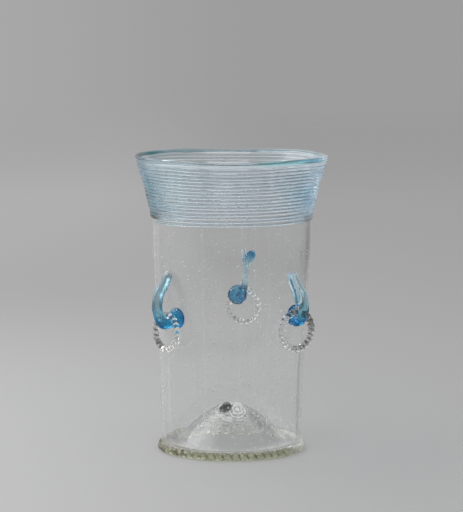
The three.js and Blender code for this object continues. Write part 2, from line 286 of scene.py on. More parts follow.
soft_box("left_soft_box", location=(-0.75, 0.2, 0.8), width=1.15, height=1.15, brightness=1.75)
soft_box("front_soft_box", location=(0.1, -0.95, 1.0), width=1.3, height=0.5, brightness=2.0)


# The blown body
# One gather of clear, seedy glass, blown to a tapering cylinder, opened at the collar and
# pushed up into a cone under its floor. Its wall is a little wavy, as hand blown glass is.
mm = 0.001
beaker_height = 160 * mm
rim_radius = 50.8 * mm
shoulder_radius = 43 * mm
heel_radius = 38.2 * mm
collar_height = 34 * mm
wall_thickness = 1.6 * mm
lip_thickness = 1.2 * mm
floor_height = 3.9 * mm
floor_corner = 1.8 * mm
heel_corner = 2.4 * mm
kick_top = 24.6 * mm
kick_thickness = 2.1 * mm
lip_trail_radius = 0.95 * mm
rim_dip = 0.8 * mm
swell_shares = [(0, 0), (0.3, 0.2), (0.58, 0.6), (0.81, 0.92), (1, 1)]
flare_shares = [(0, 0), (0.1, 0.02), (0.32, 0.25), (0.6, 0.52), (0.82, 0.84), (1, 1)]
kick_shares = [
    (0, 1), (0.12, 0.98), (0.27, 0.86), (0.47, 0.63), (0.62, 0.43), (0.76, 0.21), (0.88, 0.06), (1, 0),
]
heel_top = floor_height - kick_thickness + heel_corner
wall_top = beaker_height - lip_trail_radius
collar_start = beaker_height - collar_height
floor_radius = heel_radius - wall_thickness - floor_corner
lip_round = lip_thickness / 2
round_steps = 240
wall_steps = 80
kick_steps = 40
corner_steps = 8
weld = 0.001 * mm


def mixed(a, b, share):
    """The number that lies this share of the way from a to b."""
    return a + (b - a) * share


def held(value, low=0.0, high=1.0):
    """The value, kept between two limits."""
    return min(max(value, low), high)


def eased(value, low, high):
    """0 up to low and 1 from high on, with a smooth step between them."""
    share = held((value - low) / (high - low))
    return share * share * (3 - 2 * share)


def smooth_through(shares, at):
    """A smooth line through a table of shares."""
    at = held(at, shares[0][0], shares[-1][0])
    i = max(k for k in range(len(shares) - 1) if shares[k][0] <= at)

    def slope(k):
        (x0, y0), (x1, y1) = shares[max(k - 1, 0)], shares[min(k + 1, len(shares) - 1)]
        return (y1 - y0) / (x1 - x0)

    (x0, y0), (x1, y1) = shares[i], shares[i + 1]
    span, t = x1 - x0, (at - x0) / (x1 - x0)
    rise = y0 * (2 * t**3 - 3 * t**2 + 1) + y1 * (3 * t**2 - 2 * t**3)
    return rise + slope(i) * span * (t**3 - 2 * t**2 + t) + slope(i + 1) * span * (t**3 - t**2)


def wall_radius(height):
    """The outside radius of the wall at a height."""
    if height > collar_start:
        share = (height - collar_start) / (wall_top - collar_start)
        return mixed(shoulder_radius, rim_radius, smooth_through(flare_shares, share))
    share = (height - heel_top) / (collar_start - heel_top)
    return mixed(heel_radius, shoulder_radius, smooth_through(swell_shares, share))


def inside_radius(height):
    """The inside radius of the wall at a height. The collar thins out towards the lip."""
    share = held((height - collar_start) / (wall_top - collar_start))
    return wall_radius(height) - mixed(wall_thickness, lip_thickness, share)


def kick_height(radius):
    """The height of the kick's upper side at a distance from the axis."""
    return mixed(floor_height, kick_top, smooth_through(kick_shares, radius / floor_radius))


def off_wall(azimuth, reach, height):
    """A point that stands off the wall. Azimuths are degrees from the front towards the right."""
    angle, radius = math.radians(azimuth), wall_radius(height) + reach
    return Vector((radius * math.sin(angle), -radius * math.cos(angle), height))


def spread(low, high, steps):
    """Evenly spaced numbers, both ends included."""
    return [mixed(low, high, k / steps) for k in range(steps + 1)]


def arc(radius, height, size, start, end, steps):
    """Points of radius and height on an arc of an outline."""
    angles = [math.radians(degrees) for degrees in spread(start, end, steps)]
    return [(radius + size * math.cos(a), height + size * math.sin(a)) for a in angles]


def turned(bm, outline, steps):
    """Spins an outline of radius and height about the beaker's axis."""
    corners = [bm.verts.new((radius, 0, height)) for radius, height in outline]
    edges = [bm.edges.new(pair) for pair in zip(corners, corners[1:])]
    bmesh.ops.spin(
        bm, geom=corners + edges, cent=(0, 0, 0), axis=(0, 0, 1), dvec=(0, 0, 0),
        angle=2 * math.pi, steps=steps, use_merge=True, use_duplicate=False,
    )
    bmesh.ops.remove_doubles(bm, verts=bm.verts, dist=weld)


def dipped(bm):
    """Lets the rim sag: it stayed highest on its left, and is lowest at the front and back."""
    for vert in bm.verts:
        side = -vert.co.x / max(math.hypot(vert.co.x, vert.co.y), mm)
        lift = side * side * (0.7 + 0.3 * side) + 3.0 * side * side * (1 - side * side)
        vert.co.z -= rim_dip * held(1 - lift) * eased(vert.co.z, collar_start, beaker_height)


glass_ior = 1.5
pale_haze_colour = (0.92, 0.94, 0.96)


def glass(name, shade, paint, roughness=0.0, bump=None, depth=None, haze_and_sheen=None, haze_colour=None):
    """Glass with this paint. Lamps shine through it, so its shadow is only a shade."""
    material = bpy.data.materials.new(name)
    tree = emptied(material)
    wire = Wire(tree)
    inputs = {"Base Color": paint(tree), "IOR": glass_ior, "Transmission Weight": 1.0}
    inputs["Roughness"] = roughness(tree) if callable(roughness) else roughness
    if bump:
        height, distance = bump
        shape = {"Height": height(tree), "Strength": 1.0, "Distance": distance}
        inputs["Normal"] = wire.node("Bump", shape)
    clear = wire.node("BsdfPrincipled", inputs)
    # The haze mixes a matt colour into the glass: milky glass in some pieces, painted highlights and painted
    # shade in others.
    if haze_and_sheen:
        colour = haze_colour(tree) if haze_colour else (*pale_haze_colour, 1)
        milk = wire.node("BsdfDiffuse", {"Color": colour})
        clear = wire.node("MixShader", {0: haze_and_sheen(tree), 1: clear, 2: milk})
    lit = wire.node("BsdfTransparent", {"Color": (*shade, 1)})
    shadow = wire.node("LightPath", output="Is Shadow Ray")
    ends = {"Surface": wire.node("MixShader", {0: shadow, 1: clear, 2: lit})}
    if depth:
        tint, density = depth
        inside = {"Color": (*tint, 1), "Density": density}
        ends["Volume"] = wire.node("VolumeAbsorption", inside)
    wire.node("OutputMaterial", ends)
    return material


def spot_on(tree):
    """Where a point is on the piece, and its three coordinates in millimetres."""
    here = place(tree)
    return here, *here.axes(mm)


def from_point(here, centre=(0, 0, 0), weights=(1, 1, 0)):
    """How many millimetres a place is from a centre, by default whatever its height is."""
    off = here.vector("SUBTRACT", tuple(part * mm for part in centre))
    off = off.vector("MULTIPLY", tuple(weight / mm for weight in weights))
    return off.vector("LENGTH", output="Value")


def upright(angle, azimuth, half_width):
    """1 on an upright line at an azimuth, and 0 from its half width in radians on."""
    off = angle - math.radians((azimuth + 180) % 360 - 180)
    return off.maths("ABSOLUTE").below(0, half_width)


wave_scale = 95
wave_squeeze = (1, 1, 0.12)
cord_azimuths = (-23, 29.6, 41.4, 152, 203)
cord_half_width = 0.009
cord_depth = 0.35
cord_shift = 0.03
kick_lump_scale = 240
kick_lump_depth = 4.2
kick_ring_pitch = 1.9
kick_ring_depth = 0.25
kick_bump_shares = (0.45, 0.8)


def wavy_wall(tree):
    """Faint upright waves and fine cords in the blown wall, and the lumpy rings of the kick."""
    here = place(tree)
    squeezed = here.scaled(wave_squeeze)
    height = squeezed.cloud(wave_scale)
    x, y, z = here.axes(mm)
    angle = x.maths("ARCTAN2", 0 - y) + squeezed.cloud(20) * 0.06 - cord_shift
    for azimuth in cord_azimuths:
        height = height + upright(angle, azimuth, cord_half_width) * cord_depth
    radius = from_point(here)
    lumps = here.cloud(kick_lump_scale)
    turns = radius * (2 * math.pi / kick_ring_pitch) + lumps * 6
    kick = radius.below(*(share * floor_radius / mm for share in kick_bump_shares))
    return height + kick * (lumps * kick_lump_depth + turns.maths("SINE") * kick_ring_depth)


# Azimuth, half width in radians, strength, and the heights in millimetres where a streak ends.
# Painted highlights: pale streaks, where white is mixed into the glass.
highlight_streaks = (
    (-76, 0.03, 0.10, 20, 126), (-67, 0.022, 0.09, 60, 126), (-60, 0.02, 0.14, 12, 50),
    (-21.5, 0.009, 0.10, 20, 126), (6.2, 0.010, 0.08, 20, 80), (7.2, 0.014, 0.32, 125, 127),
    (27.6, 0.009, 0.08, 30, 126), (38.6, 0.008, 0.07, 20, 126), (160, 0.01, 0.07, 20, 126),
)
# Painted shade: dark streaks near the wall's sides.
shade_streaks = (
    (67.6, 0.05, 0.5, 6, 52), (70, 0.03, 0.25, 20, 126), (88, 0.14, 0.4, 6, 56), (-86, 0.04, 0.2, 6, 60),
)
streak_shift = 0.02
streak_foot = 8
streak_top = 4


def streaks(tree, table):
    """How strong the upright streaks in this table are at a point."""
    here, x, y, z = spot_on(tree)
    angle = x.maths("ARCTAN2", 0 - y) + here.cloud(12) * 0.04 - streak_shift
    total = 0
    for azimuth, half_width, strength, low, high in table:
        reach = z.above(low - streak_foot, low + streak_foot)
        reach = reach * z.below(high - streak_top, high + streak_top)
        total = upright(angle, azimuth, half_width) * reach * strength + total
    return total


clear_tint = (0.985, 0.99, 0.988)
shade_streak_tint = (0.35, 0.38, 0.38)
slope_shade_tint = (0.92, 0.92, 0.91)
flank_shade_tint = (0.56, 0.58, 0.59)
floor_shadow_tint = (0.56, 0.56, 0.55)
kick_end = (0.66 * floor_radius / mm, 0.8 * floor_radius / mm)
kick_start = (5, 9)
over_kick = (kick_top / mm, kick_top / mm + 2)
slope_height = (8, 14)
flank_side_shares = (0.62, 0.85)
flank_mottle = (0.38, 0.56)
floor_shadow_start = (0.66 * floor_radius / mm, 0.76 * floor_radius / mm)
floor_shadow_end = (34, 35.5)
floor_shadow_left = (-20, -12)
floor_shadow_front_end = (-22, -10)
floor_shadow_height = (floor_height / mm + 2.5, floor_height / mm + 4)


def wall_paint(tree):
    """Nearly colourless, with painted shade in streaks near the sides and on the kick, and a painted shadow
    at its left.
    """
    here, x, y, z = spot_on(tree)
    radius = from_point(here)
    kick = radius.below(*kick_end) * radius.above(*kick_start) * z.below(*over_kick)
    side = x.maths("DIVIDE", radius).maths("ABSOLUTE")
    # Painted shade on the kick's flanks, mottled.
    flank = side.above(*flank_side_shares) * kick * here.cloud(330).above(*flank_mottle)
    # Painted shadow in the floor near its corner at the left front.
    floor_shadow = x.below(*floor_shadow_left) * y.above(*floor_shadow_front_end) * z.below(*floor_shadow_height)
    floor_shadow = floor_shadow * radius.above(*floor_shadow_start) * radius.below(*floor_shadow_end)
    paint = streaks(tree, shade_streaks).blend(clear_tint, shade_streak_tint)
    # Painted shade on the kick's upper slope.
    paint = (kick * z.above(*slope_height) * 0.6).blend(paint, slope_shade_tint)
    return floor_shadow.blend(flank.blend(paint, flank_shade_tint), floor_shadow_tint)


shade_mark_centre = (-3.4, -6.6, kick_top / mm)
shade_mark_edge = (4.0, 6.4)


def shade_mark(tree):
    """Where the top of the kick is painted nearly black as shade, beside the scar."""
    here = place(tree)
    away = from_point(here, shade_mark_centre, (1, 1, 0.3))
    return (away + here.cloud(700) * 4).below(*shade_mark_edge)


swirl_centre = (3.2, -8.2, kick_top / mm)
swirl_edge = (4.4, 6.4)
swirl_pitch = 1.7


def scar_swirl(tree):
    """The bright turns of broken glass beside that mark, partly a painted highlight: where they are, and the
    turns.
    """
    here = place(tree)
    away = from_point(here, swirl_centre, (1, 0.7, 0.3))
    turns = away * (2 * math.pi / swirl_pitch) + here.cloud(500) * 9
    return away.below(*swirl_edge), turns.maths("SINE").above(-0.5, 0.5)


outer_arc_radius = 33.4
inner_arc_radius = 30.2
arc_left = (-14, -2)
arc_front = (-10, 0)
arc_height = (floor_height / mm + 1, floor_height / mm + 2)


def floor_corner_highlights(tree):
    """Two painted highlight lines in the floor's corner, at the front left."""
    here, x, y, z = spot_on(tree)
    radius = from_point(here)
    outer = (radius - outer_arc_radius).maths("ABSOLUTE").below(0, 0.5)
    inner = (radius - inner_arc_radius - x * 0.05).maths("ABSOLUTE").below(0, 0.6)
    lines = outer * 0.25 + inner * 0.3
    return lines * x.below(*arc_left) * y.below(*arc_front) * z.below(*arc_height)


scar_centre = (1, -7.5, 0)
scar_inner_edge = (6.3, 7)
scar_outer_edge = (7.5, 8.2)
scar_foot = (13, 14)
scar_front = (-12, -10)
scar_left = (-6, -4.5)


def scar_edge(tree):
    """The pale front and left edge of the scar, seen through the kick's slope."""
    here, x, y, z = spot_on(tree)
    radius = from_point(here, scar_centre)
    edge = radius.above(*scar_inner_edge) * radius.below(*scar_outer_edge)
    part = y.below(*scar_front).maths("MAXIMUM", x.below(*scar_left))
    return edge * part * z.above(*scar_foot) * z.below(*over_kick) * 0.3


def wall_haze_and_highlights(tree):
    """Painted highlights in upright streaks and in the floor's corner, the mark's painted shade and the swirl
    beside it in the top of the kick, and the pale edge of the scar.
    """
    mark = shade_mark(tree)
    swirl, _ = scar_swirl(tree)
    marks = mark * 0.8 + swirl * (1 - mark) * 0.42
    return streaks(tree, highlight_streaks) + marks + floor_corner_highlights(tree) + scar_edge(tree)


def wall_haze_colour(tree):
    """White in the painted highlights, white and grey in the swirl, and nearly black in the mark's painted
    shade.
    """
    swirl, turns = scar_swirl(tree)
    broken = turns.blend((0.30, 0.31, 0.31), (1, 1, 0.99))
    white = swirl.above(0, 0.3).blend((0.94, 0.95, 0.95), broken)
    return shade_mark(tree).above(0, 0.3).blend(white, (0.02, 0.02, 0.02))


wall_glass = glass(
    "clear_glass", (0.96, 0.96, 0.96), wall_paint, bump=(wavy_wall, 0.1 * mm), haze_and_sheen=wall_haze_and_highlights, haze_colour=wall_haze_colour
)

outline = [(r, kick_height(r) - kick_thickness) for r in spread(0, floor_radius, kick_steps)]
outline += arc(heel_radius - heel_corner, heel_top, heel_corner, -90, 0, corner_steps)
outline += [(wall_radius(z), z) for z in spread(heel_top, wall_top - lip_round, wall_steps)[1:]]
outline += arc(wall_radius(wall_top) - lip_round, wall_top - lip_round, lip_round, 0, 180, corner_steps)[1:-1]
inside_low = floor_height + floor_corner
outline += [(inside_radius(z), z) for z in spread(wall_top - lip_round, inside_low, wall_steps)]
outline += arc(floor_radius, inside_low, floor_corner, 0, -90, corner_steps)[1:]
outline += [(r, kick_height(r)) for r in spread(floor_radius, 0, kick_steps)[1:]]

inner_wave_scale = 70
inner_wave_depth = 0.12 * mm
outer_wave_scale = 30
outer_wave_depth = 0.08 * mm
ripple_height = 0.07 * mm
lump_height = 0.2 * mm
lump_fade = 5 * mm

bm = bmesh.new()
turned(bm, outline, round_steps)
for vert in bm.verts:
    radius = math.hypot(vert.co.x, vert.co.y)
    if radius > floor_radius and vert.co.z > heel_top:
        inner = radius < wall_radius(vert.co.z) - wall_thickness / 3
        scale = inner_wave_scale if inner else outer_wave_scale
        depth = inner_wave_depth if inner else -outer_wave_depth
        wave = abs(noise.noise(Vector((vert.co.x, vert.co.y, vert.co.z * 0.1)) * scale))
        vert.co.xy *= 1 + wave * depth * held((wall_top - vert.co.z) / mm) / radius
    elif radius > mm:
        ripple = noise.noise(Vector((radius * 700, vert.co.z * 60, 0))) * ripple_height
        lump = noise.noise(vert.co * 130) * lump_height
        vert.co.z += (ripple + lump) * eased(floor_radius - radius, 0, lump_fade)
dipped(bm)
blown_body = mesh_object("blown_glass_body", bm, wall_glass)
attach(blown_body, "beaker")
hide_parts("blown_body")

# The seeds
# Small air bubbles caught in the wall while the glass was melted, drawn a little upright. More
# of them lie in the thick glass of the kick.
seed_count = 1750
kick_seed_count = 640
seed_least = 0.12 * mm
seed_most = 0.4 * mm
seed_skin = 0.12 * mm
seed_inner_skin = 0.3 * mm
seed_foot = 2 * mm
seed_top = 4 * mm
seed_tallest = 1.9
kick_seed_shares = (0.55, 1.04)

seed_glass = bpy.data.materials.new("seed_air")
wire = Wire(emptied(seed_glass))
gloss = {"Base Color": (1, 1, 1, 1), "Roughness": 0.2, "IOR": 1.3, "Transmission Weight": 0.15}
bubble = wire.node("BsdfPrincipled", gloss)
wire.node("OutputMaterial", {"Surface": bubble})

seed_shape = bmesh.new()
bmesh.ops.create_icosphere(seed_shape, subdivisions=1, radius=1)


def blown(bm, spot, size):
    """Adds a small bubble of this size at a spot."""
    corners = [bm.verts.new(spot + vert.co * Vector(size)) for vert in seed_shape.verts]
    for face in seed_shape.faces:
        bm.faces.new([corners[vert.index] for vert in face.verts])


draw = random.Random(11)
bm = bmesh.new()
for k in range(seed_count + kick_seed_count):
    size = mixed(seed_least, seed_most, draw.random() ** 2)
    height = draw.uniform(heel_top + seed_foot, wall_top - seed_top)
    depth = mixed(size + seed_skin, wall_thickness - size - seed_inner_skin, draw.random())
    azimuth = draw.uniform(0, 360)
    spot = off_wall(azimuth, -depth, height)
    if k >= seed_count:
        out = mixed(*kick_seed_shares, draw.random() ** 0.4) * floor_radius
        angle = math.radians(azimuth)
        height = kick_height(out) - kick_thickness / 2
        spot = Vector((out * math.sin(angle), -out * math.cos(angle), height))
    blown(bm, spot, (size, size, size * draw.uniform(1, seed_tallest)))
seeds = mesh_object("wall_seeds", bm, seed_glass)
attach(seeds, "beaker")

# The lip trail
# A trail of darker blue-green glass laid on the cut lip and melted to a round edge. More of it
# is laid on the right of the front and on the left of the back.
lip_section = 0.9 * mm
lip_overhang = 0.75 * mm
lip_swell = 0.45
lip_sag = 0.2 * mm
lip_centre = wall_radius(beaker_height) - lip_round + lip_overhang
lip_ends = (43, 49)
lip_right_front = (37, 45)
lip_left_back = (-50, -30)
lip_blue_from = (35, 41)
lip_back_from = (0, 20)
lip_dark_left = (-46, -36)
lip_light_end = (47, 50)


def lip_side(x, y):
    """How far a place lies towards the front right, in millimetres."""
    return x * 0.8 - y * 0.6


def lip_paint(tree):
    """Nearly clear at the front and back, and teal at the sides, where more of the trail is laid."""
    _, x, y, z = spot_on(tree)
    side = lip_side(x, y)
    laid = x.above(*lip_blue_from).blend((0.50, 0.93, 0.94), (0.26, 0.54, 0.68))
    plain = y.above(*lip_back_from).blend((0.84, 0.92, 0.94), (0.66, 0.80, 0.85))
    thick = x.above(*lip_dark_left).blend((0.15, 0.41, 0.47), (0.54, 0.72, 0.77))
    right_front = side.above(*lip_right_front) * (1 - x.maths("ABSOLUTE").above(*lip_ends) * 0.7)
    return side.below(*lip_left_back).blend(right_front.blend(plain, laid), thick)


def lip_haze_and_light(tree):
    """Painted light: white mixed in at the right end, and a little milkiness over the right front."""
    _, x, y, z = spot_on(tree)
    return x.above(*lip_light_end) * 0.08 + lip_side(x, y).above(*lip_right_front) * 0.05


lip_glass = glass("lip_glass", (0.75, 0.85, 0.88), lip_paint, haze_and_sheen=lip_haze_and_light)

bm = bmesh.new()
section = arc(lip_centre, beaker_height - lip_section, lip_section, 0, 360, 16)[:-1]
turned(bm, section + section[:1], round_steps)
for vert in bm.verts:
    angle = math.atan2(vert.co.y, vert.co.x)
    middle = Vector((math.cos(angle), math.sin(angle), 0)) * (lip_centre - 0.4 * mm)
    middle.z = beaker_height - 0.1 * mm
    heavy = abs(0.85 * math.cos(angle) - 0.53 * math.sin(angle)) ** 6
    vert.co = middle + (vert.co - middle) * (1 + lip_swell * heavy)
    vert.co.z -= abs(noise.noise(vert.co * 60)) * lip_sag
    vert.co.z = min(vert.co.z, beaker_height)
    vert.co.xy *= 1 - abs(noise.noise(vert.co * 35)) * 0.002
dipped(bm)
lip_trail = mesh_object("lip_trail_glass", bm, lip_glass)
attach(lip_trail, "beaker")
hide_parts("lip_trail")

# The rim thread
# A fine thread of pale blue glass wound about eighteen times round the collar. It wanders a
# little and is thicker in places. It is drawn out thin where it starts and where it ends.
thread_radius = 0.78 * mm
thread_turns = 18
thread_pitch = 1.9 * mm
thread_drop = 0.7 * mm
thread_steps = 72
thread_start = -80
thread_sink = 0.25 * mm
thread_wander = 0.3 * mm
thread_sides = 3
thread_left = (-47, -36)
thread_right = (24, 42)
thread_clear_from = (-26, -14)
thread_teal_top = (140, 154)
blue_band_foot = (130, 136)
blue_band_top = (142, 147)
corner_shade_ends = (37, 40)
corner_shade_top = (127.5, 129.5)
shaded_top_from = (14, 34)


def thread_paint(tree):
    """Almost colourless seen flat on, teal on the left and blue on the right, where it lies thick, with
    painted shade on the top of each turn and at the lower corners.
    """
    here, x, y, z = spot_on(tree)
    streak = here.scaled((25, 25, 420)).cloud(1, 1)
    paint = x.below(*thread_clear_from).blend((0.975, 0.96, 0.98), (0.91, 0.92, 0.925))
    teal = x.below(*thread_left) * z.below(*thread_teal_top) * streak.above(0.2, 0.6)
    paint = teal.blend(paint, (0.76, 0.98, 1.0))
    band = z.above(*blue_band_foot) * z.below(*blue_band_top)
    blue = x.above(*thread_right) * band * streak.above(0.35, 0.6)
    paint = blue.blend(paint, (0.74, 0.90, 0.96))
    # Painted shade on the top of each turn, stronger on the right.
    upper = here.node("Attribute", output="Fac", attribute_name="upper")
    paint = (upper * (x.above(*shaded_top_from) * 0.5 + 0.12)).blend(paint, (0.30, 0.42, 0.48))
    # Painted shade at the lower corners of both sides.
    corner = x.maths("ABSOLUTE").above(*corner_shade_ends) * z.below(*corner_shade_top)
    return (corner * streak.above(0.35, 0.5)).blend(paint, (0.17, 0.19, 0.21))


highlight_right = (38, 46)
highlight_left = (-47, -42)
highlight_left_foot = (140, 148)
glint_foot = (136, 139)
glint_top = (147, 150)
highlight_corner = (30, 40)
highlight_corner_top = (131, 136)
first_turn_left = (-46, -34)
first_turn_foot = (155.2, 156.2)
first_turn_front = (-10, 10)


def thread_highlights(tree):
    """Painted highlights: white mixed in on the front of the top turn under the lip, along the sides, in
    glints on the right and at the lower right.
    """
    here, x, y, z = spot_on(tree)
    right = x.above(*highlight_right)
    glints = here.cloud(300, 1).above(0.5, 0.6) * z.above(*glint_foot) * z.below(*glint_top)
    left = x.below(*highlight_left) * z.above(*highlight_left_foot)
    corner = x.above(*highlight_corner) * z.below(*highlight_corner_top)
    first = x.above(*first_turn_left) * z.above(*first_turn_foot) * y.below(*first_turn_front)
    return right * 0.14 + left * 0.03 + right * glints * 0.5 + corner * 0.12 + first * 0.42


thread_glass = glass(
    "thread_glass", (0.9, 0.95, 0.97), thread_paint, depth=((0.2, 0.66, 0.88), 165), haze_and_sheen=thread_highlights
)


def sunk(bm, depth):
    """Flattens what lies deeper in the wall than this, so that the piece looks fused to it."""
    for vert in bm.verts:
        least = wall_radius(vert.co.z) - depth
        radius = math.hypot(vert.co.x, vert.co.y)
        if radius < least:
            vert.co.xy *= least / radius


points, radii = [], []
height = collar_start - thread_drop
thread_points = thread_turns * thread_steps
for step in range(thread_points + 1):
    turn = step / thread_steps + thread_start / 360
    angle = 2 * math.pi * turn
    wander = noise.noise(Vector((math.sin(angle), math.cos(angle), turn * 0.7)) * 1.6)
    thick = thread_radius * (0.95 + 0.18 * noise.noise(Vector((turn * 5.3, 2.0, 1.0))))
    lean = math.atan2(wall_radius(height + thread_pitch) - wall_radius(height), thread_pitch)
    reach = thick * 0.5 / math.cos(lean)
    points.append(off_wall(360 * turn, reach, height + wander * thread_wander))
    radii.append(thick * held(0.3 + step / 6) * held(0.12 + (thread_points - step) / 26))
    height += thread_pitch * math.cos(lean) / thread_steps

line = bpy.data.curves.new("rim_thread_glass", "CURVE")
line.dimensions = "3D"
line.bevel_depth = 1.0
line.bevel_resolution = thread_sides
line.use_fill_caps = True
spline = line.splines.new("POLY")
spline.points.add(len(points) - 1)
for point, spot, radius in zip(spline.points, points, radii):
    point.co = (*spot, 1)
    point.radius = radius
rough = add_object("rim_thread_glass_line", line)
mesh = bpy.data.meshes.new_from_object(rough)
bpy.data.objects.remove(rough)

bm = bmesh.new()
bm.from_mesh(mesh)
bmesh.ops.remove_doubles(bm, verts=bm.verts, dist=weld)
bmesh.ops.recalc_face_normals(bm, faces=bm.faces)
bm.normal_update()
# How much each point faces up: the share of painted shade on the top of the turns.
upper = bm.verts.layers.float.new("upper")
for vert in bm.verts:
    vert[upper] = eased(vert.normal.z, 0.0, 0.7)
sunk(bm, thread_sink)
dipped(bm)
rim_thread = mesh_object("rim_thread_glass", bm, thread_glass)
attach(rim_thread, "beaker")
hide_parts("rim_thread")

# The foot trail
# A thick trail of greenish glass wound once round the heel and pinched into notches all round.
# It is worn and dirty on the left, and chipped on the right.
foot_radius = 2.05 * mm
foot_overhang = 1.75 * mm
foot_notches = 56
foot_corner = 1.5 * mm
foot_grip = 0.3 * mm
foot_lift = 0.02 * mm
foot_centre = heel_radius + foot_overhang - foot_radius
foot_worn_left = (-34, -16)
foot_pale_right = (26, 38)
foot_green_from = (4, 14)
foot_back_from = (-10, 12)
foot_frost_from = (28, 38)


def foot_paint(tree):
    """Bottle green and worn in front, with painted shade in the notches, and almost clear at the back."""
    here, x, y, z = spot_on(tree)
    left, right = x.below(*foot_worn_left), x.above(*foot_pale_right)
    share = here.cloud(55, 3).above(0.35, 0.65) * 0.5 + right * 0.5
    paint = share.ramp((0, (0.78, 0.79, 0.58)), (0.5, (0.86, 0.86, 0.70)), (1, (0.97, 0.93, 0.88)))
    green = x.above(*foot_green_from) * (1 - right) * 0.7
    paint = green.blend(paint, (0.66, 0.68, 0.50))
    worn = here.cloud(560).above(0.48, 0.53) * (0.12 + left * 0.85 + right * 0.25)
    paint = worn.blend(paint, (0.15, 0.12, 0.09))
    groove = here.node("Attribute", output="Fac", attribute_name="groove")
    # Painted shade in the notches.
    paint = groove.above(0.45, 0.95).blend(paint, (0.13, 0.13, 0.07))
    back = (y - left * 10).above(*foot_back_from)
    return (back * 0.9 + right * 0.3 * (1 - back)).blend(paint, (0.96, 0.95, 0.93))


def foot_haze(tree):
    """Frosted by fine chips on the right."""
    _, x, y, z = spot_on(tree)
    return x.above(*foot_frost_from) * 0.22


def foot_grain(tree):
    """Small chips and specks in the skin of the trail."""
    return place(tree).cloud(900)


foot_glass = glass(
    "foot_glass", (0.9, 0.92, 0.85), foot_paint, bump=(foot_grain, 0.2 * mm),
    depth=((0.45, 0.5, 0.0), 16), haze_and_sheen=foot_haze,
)

# The vector noise takes its start from the clock unless it has a seed.
grain_seed = 7
noise.seed_set(grain_seed)
bm = bmesh.new()
turned(bm, arc(foot_centre, foot_radius, foot_radius, 0, 360, 20), foot_notches * 10)
groove = bm.verts.layers.float.new("groove")
for vert in bm.verts:
    angle = math.atan2(vert.co.y, vert.co.x)
    out = Vector((math.cos(angle), math.sin(angle), 0))
    uneven = 0.35 * noise.noise(out * 3)
    rib = abs(math.sin(foot_notches / 2 * angle + uneven + 340 * (vert.co.z - foot_radius)))
    vert[groove] = 1 - rib
    middle = out * foot_centre
    middle.z = foot_radius
    corner = eased(-math.sin(angle), 0, 0.4) * abs(math.cos(angle)) ** 0.5
    wider = 1 + foot_corner / foot_centre * corner
    squeeze = 1 - 0.34 * (1 - rib) ** 1.6
    vert.co = Vector((middle.x * wider, middle.y * wider, middle.z)) + (vert.co - middle) * squeeze
    vert.co.z *= 1.07 - 0.25 * eased(abs(math.cos(angle)), 0.75, 0.97)
    vert.co += noise.noise_vector(vert.co * 330) * 0.2 * mm + noise.noise_vector(vert.co * 800) * 0.1 * mm
    heel = out * (heel_radius - heel_corner)
    heel.z = heel_top
    off = vert.co - heel
    if off.length < heel_corner - foot_grip:
        vert.co = heel + off.normalized() * (heel_corner - foot_grip)
    vert.co.z = max(vert.co.z, foot_lift)
foot_trail = mesh_object("foot_trail_glass", bm, foot_glass)
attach(foot_trail, "beaker")
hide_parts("foot_trail")

# The pontil wad
# The rough scar under the kick, where the rod that held the beaker was broken off. Turns of broken glass lie
# round a spot a little off the kick's middle, painted nearly black as shade, with painted light on the right
# and at the skirt.
wad_radius = 7.6 * mm
wad_middle = (0.6, -3.2, 0)
wad_roughness = 0.6 * mm
wad_lap = 0.3 * mm
wad_turns_centre = (2.6, -3.5, 0)
wad_turns_pitch = 1.7
wad_shade_centre = (-3.4, -2.6, 0)
wad_shade_edge = (4.2, 6.5)
wad_light_from = (-3, 8)
wad_skirt_from = (5.4, 6.6)

wad_glass = bpy.data.materials.new("wad_glass")
here = place(emptied(wad_glass))
x, y, z = here.axes(mm)
chips = here.cloud(900, 3)
turns = from_point(here, wad_turns_centre) * (2 * math.pi / wad_turns_pitch) + chips * 6
rings = turns.maths("SINE") * 0.5 + 0.5
# Painted shade round the spot, and painted light towards the right and at the skirt.
lit = (from_point(here, wad_shade_centre) + chips * 4).above(*wad_shade_edge)
bright = (x + chips * 4).above(*wad_light_from)
light = lit * (bright * 0.6 + 0.15 + rings * (bright * 0.3 + 0.15))
skirt = from_point(here, wad_middle).above(*wad_skirt_from)
light = light + skirt * (1 - light) * 0.8
broken = light.blend((0.015, 0.017, 0.017), (1, 1, 1))
relief = here.node("Bump", {"Height": rings + chips, "Strength": 1.0, "Distance": 0.25 * mm})
surface = {
    "Base Color": broken, "Roughness": 0.12, "IOR": glass_ior, "Transmission Weight": 0.2, "Normal": relief,
}
clear = here.node("BsdfPrincipled", surface)
here.node("OutputMaterial", {"Surface": clear})

wad_low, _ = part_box("pontil_wad")
wad_edge = kick_height(wad_radius) - kick_thickness
wad_shift = Vector(wad_middle) * mm
outline = [(0, 1.7 * mm), (2.2 * mm, 1.0 * mm), (4.2 * mm, 0.1 * mm), (6.2 * mm, 0.6 * mm)]
outline = [(radius, wad_low.z + rise) for radius, rise in outline]
outline.append((7.1 * mm, wad_edge - 0.8 * mm))
outline += [(r, kick_height(r) - kick_thickness + wad_lap) for r in spread(wad_radius, 0, 6)]

